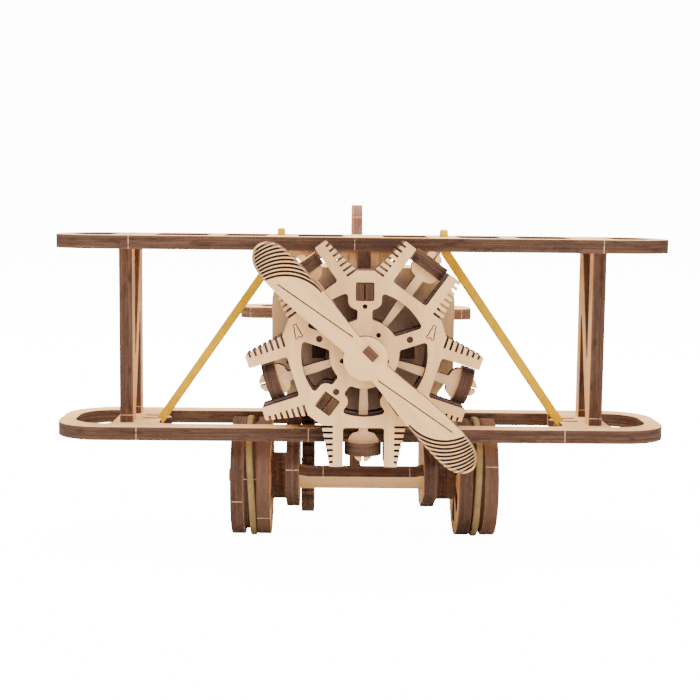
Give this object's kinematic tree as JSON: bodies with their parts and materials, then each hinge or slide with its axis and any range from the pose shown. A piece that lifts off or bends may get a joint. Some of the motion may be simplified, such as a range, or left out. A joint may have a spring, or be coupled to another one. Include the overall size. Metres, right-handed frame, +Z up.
{
  "type": "biplane scale model",
  "caption": "Flat-sheet plywood biplane kit model: framed wings, open fuselage, radial engine with sliding pistons, and a propeller geared to its banded wheels.",
  "frame": {"origin": "on the ground under the middle of the model", "axes": "+X along the span, to the right when looking at the nose from in front; -Y towards the nose; +Z up"},
  "size_m": [0.185, 0.154, 0.103],
  "materials": {
    "plywood": "sanded sheet faces, burnt cut edges",
    "dowel": "plain turned wood",
    "elastic_band": "satin"
  },
  "bodies": {
    "airframe": {"brace_pegs": "plywood", "cabane_spine": "plywood", "cockpit_former": "plywood", "engine_pins": "dowel", "engine_snap_posts": "plywood", "engine_standoffs": "plywood", "fin": "plywood", "firewall": "plywood", "front_star_plate": "plywood", "gear_shafts": "dowel", "keel": "plywood", "left_brace_band": "elastic_band", "left_interplane_strut": "plywood", "left_side_plate": "plywood", "lower_deck": "plywood", "lower_wing": "plywood", "rear_cabane": "plywood", "rear_star_plate": "plywood", "right_brace_band": "elastic_band", "right_interplane_strut": "plywood", "right_side_plate": "plywood", "tail_formers": "plywood", "tail_skid": "plywood", "tailplane": "plywood", "undercarriage_spreader": "plywood", "upper_deck": "plywood", "upper_wing": "plywood"},
    "wheel_axle": {"wheel_axle": "dowel", "axle_gear": "plywood", "left_axle_collar": "plywood", "left_wheel_discs": "plywood", "left_wheel_core": "plywood", "left_wheel_band": "elastic_band", "right_axle_collar": "plywood", "right_wheel_discs": "plywood", "right_wheel_core": "plywood", "right_wheel_band": "elastic_band"},
    "idler_gear": {"idler_gear": "plywood"},
    "lateral_gear": {"lateral_gear": "plywood"},
    "crankshaft": {"crank_bar": "plywood", "propeller": "plywood", "propeller_spacers": "plywood", "front_journal": "plywood", "crank_eccentric": "plywood", "rear_journal": "plywood", "crank_spacer": "plywood", "firewall_journal": "plywood", "crank_gear": "plywood"},
    "piston_1": {"piston_disc_1": "plywood", "piston_rod_1": "plywood"},
    "piston_2": {"piston_disc_2": "plywood", "piston_rod_2": "plywood"},
    "piston_3": {"piston_disc_3": "plywood", "piston_rod_3": "plywood"},
    "piston_4": {"piston_disc_4": "plywood", "piston_rod_4": "plywood"},
    "piston_5": {"piston_disc_5": "plywood", "piston_rod_5": "plywood"}
  },
  "joints": [
    {"name": "wheel_spin", "type": "hinge", "parent": "airframe", "child": "wheel_axle", "pos_m": [0, -0.0276, 0.0187], "axis": [1, 0, 0], "continuous": true},
    {"name": "idler_spin", "type": "hinge", "parent": "airframe", "child": "idler_gear", "pos_m": [-0.0162, -0.02632, 0.03741], "axis": [1, 0, 0], "continuous": true},
    {"name": "lateral_spin", "type": "hinge", "parent": "airframe", "child": "lateral_gear", "pos_m": [-0.0162, -0.0225, 0.0611], "axis": [1, 0, 0], "continuous": true},
    {"name": "crank_spin", "type": "hinge", "parent": "airframe", "child": "crankshaft", "pos_m": [0, -0.056, 0.0611], "axis": [0, 1, 0], "continuous": true},
    {"name": "piston_1_slide", "type": "slide", "parent": "airframe", "child": "piston_1", "axis": [0.5878, 0, 0.809], "range_m": [-0.00398, 0.00002]},
    {"name": "piston_2_slide", "type": "slide", "parent": "airframe", "child": "piston_2", "axis": [-0.5878, 0, 0.809], "range_m": [-0.00235, 0.00165]},
    {"name": "piston_3_slide", "type": "slide", "parent": "airframe", "child": "piston_3", "axis": [-0.9511, 0, -0.309], "range_m": [-0.00023, 0.00377]},
    {"name": "piston_4_slide", "type": "slide", "parent": "airframe", "child": "piston_4", "axis": [0, 0, -1], "range_m": [-0.00056, 0.00344]},
    {"name": "piston_5_slide", "type": "slide", "parent": "airframe", "child": "piston_5", "axis": [0.9511, 0, -0.309], "range_m": [-0.00288, 0.00112]}
  ],
  "couplings": [
    {"joint": "idler_spin", "follows": "wheel_spin", "ratio": -1.0833},
    {"joint": "lateral_spin", "follows": "wheel_spin", "ratio": 0.65},
    {"joint": "crank_spin", "follows": "wheel_spin", "ratio": -0.61905}
  ]
}
